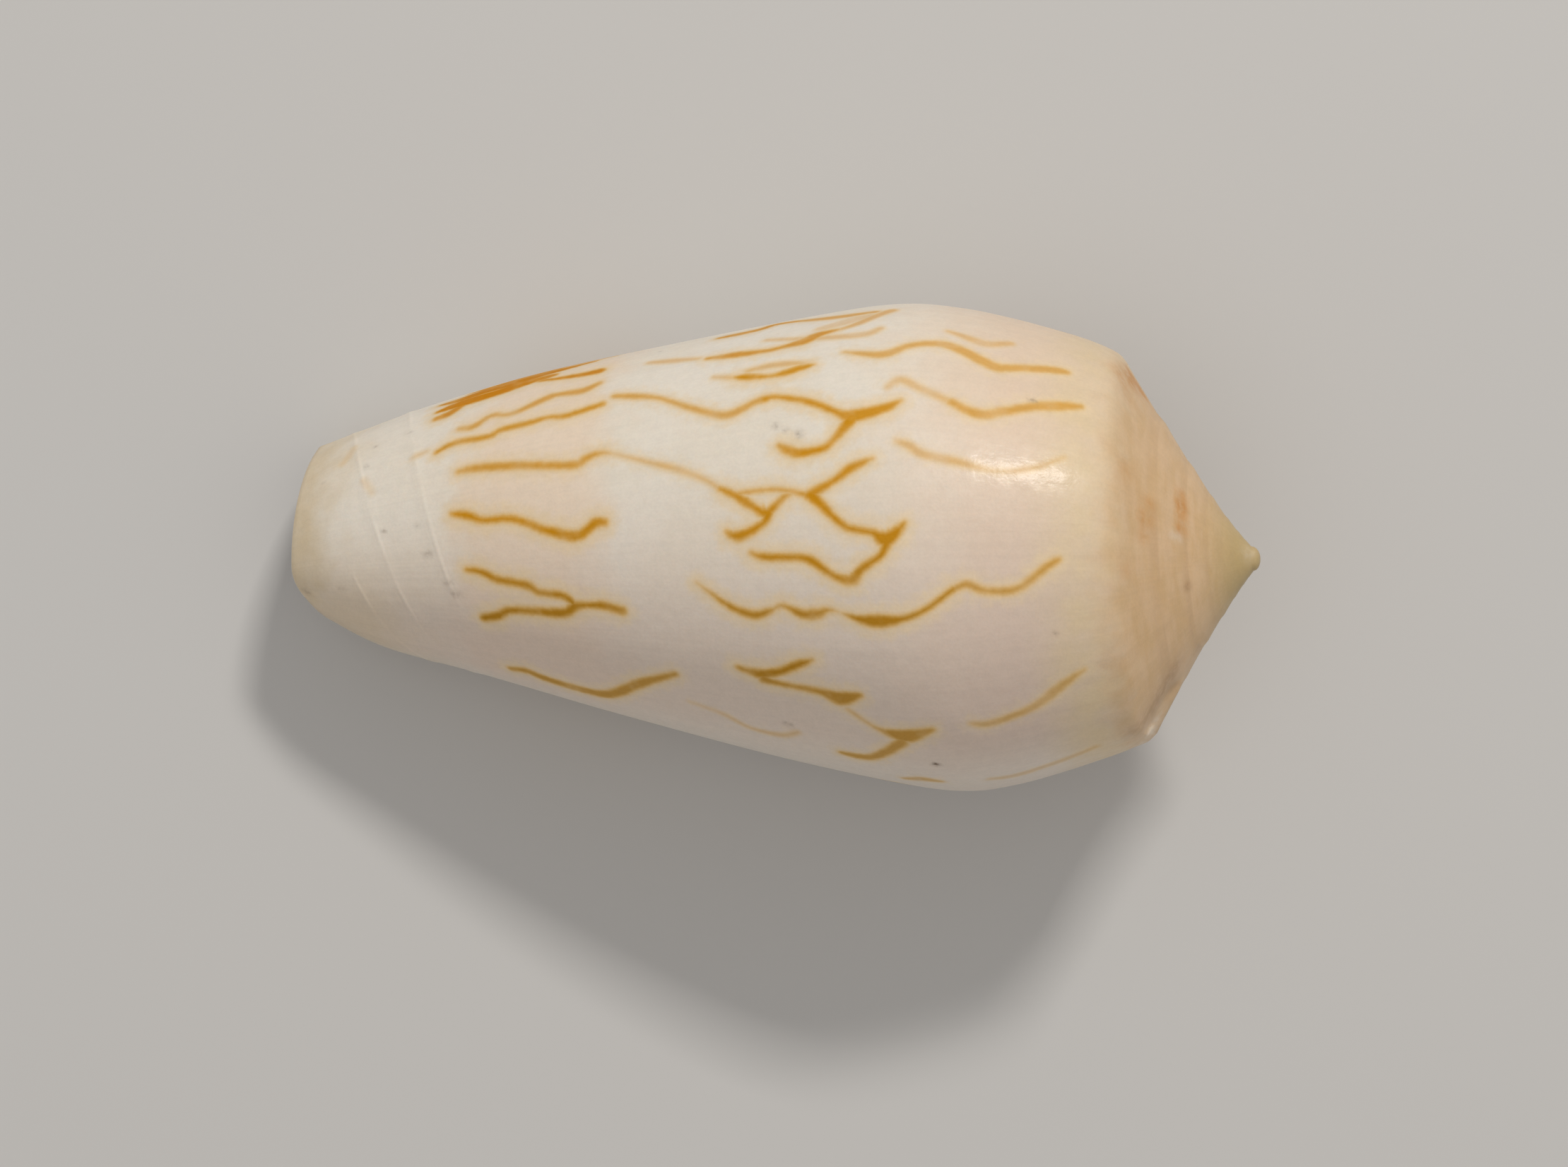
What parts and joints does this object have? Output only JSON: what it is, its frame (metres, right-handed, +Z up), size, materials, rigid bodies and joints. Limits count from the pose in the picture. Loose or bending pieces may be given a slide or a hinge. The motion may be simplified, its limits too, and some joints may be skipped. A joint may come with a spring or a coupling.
{
  "type": "cone shell",
  "caption": "Slim conical sea-snail shell with a low pointed spire, a long narrow aperture underneath and ochre streaks on cream, lying aperture down.",
  "frame": {"origin": "under the middle of the shell's plan outline, at the height of the surface it rests on", "axes": "+X along the shell towards the spire's tip, +Y towards the outer lip's side, +Z up, away from the aperture"},
  "size_m": [0.0504, 0.0252, 0.0232],
  "materials": {
    "shell": "glossy cream and pale pink shell with ochre streaks"
  },
  "bodies": {
    "root": {"shell": "shell"}
  },
  "joints": []
}
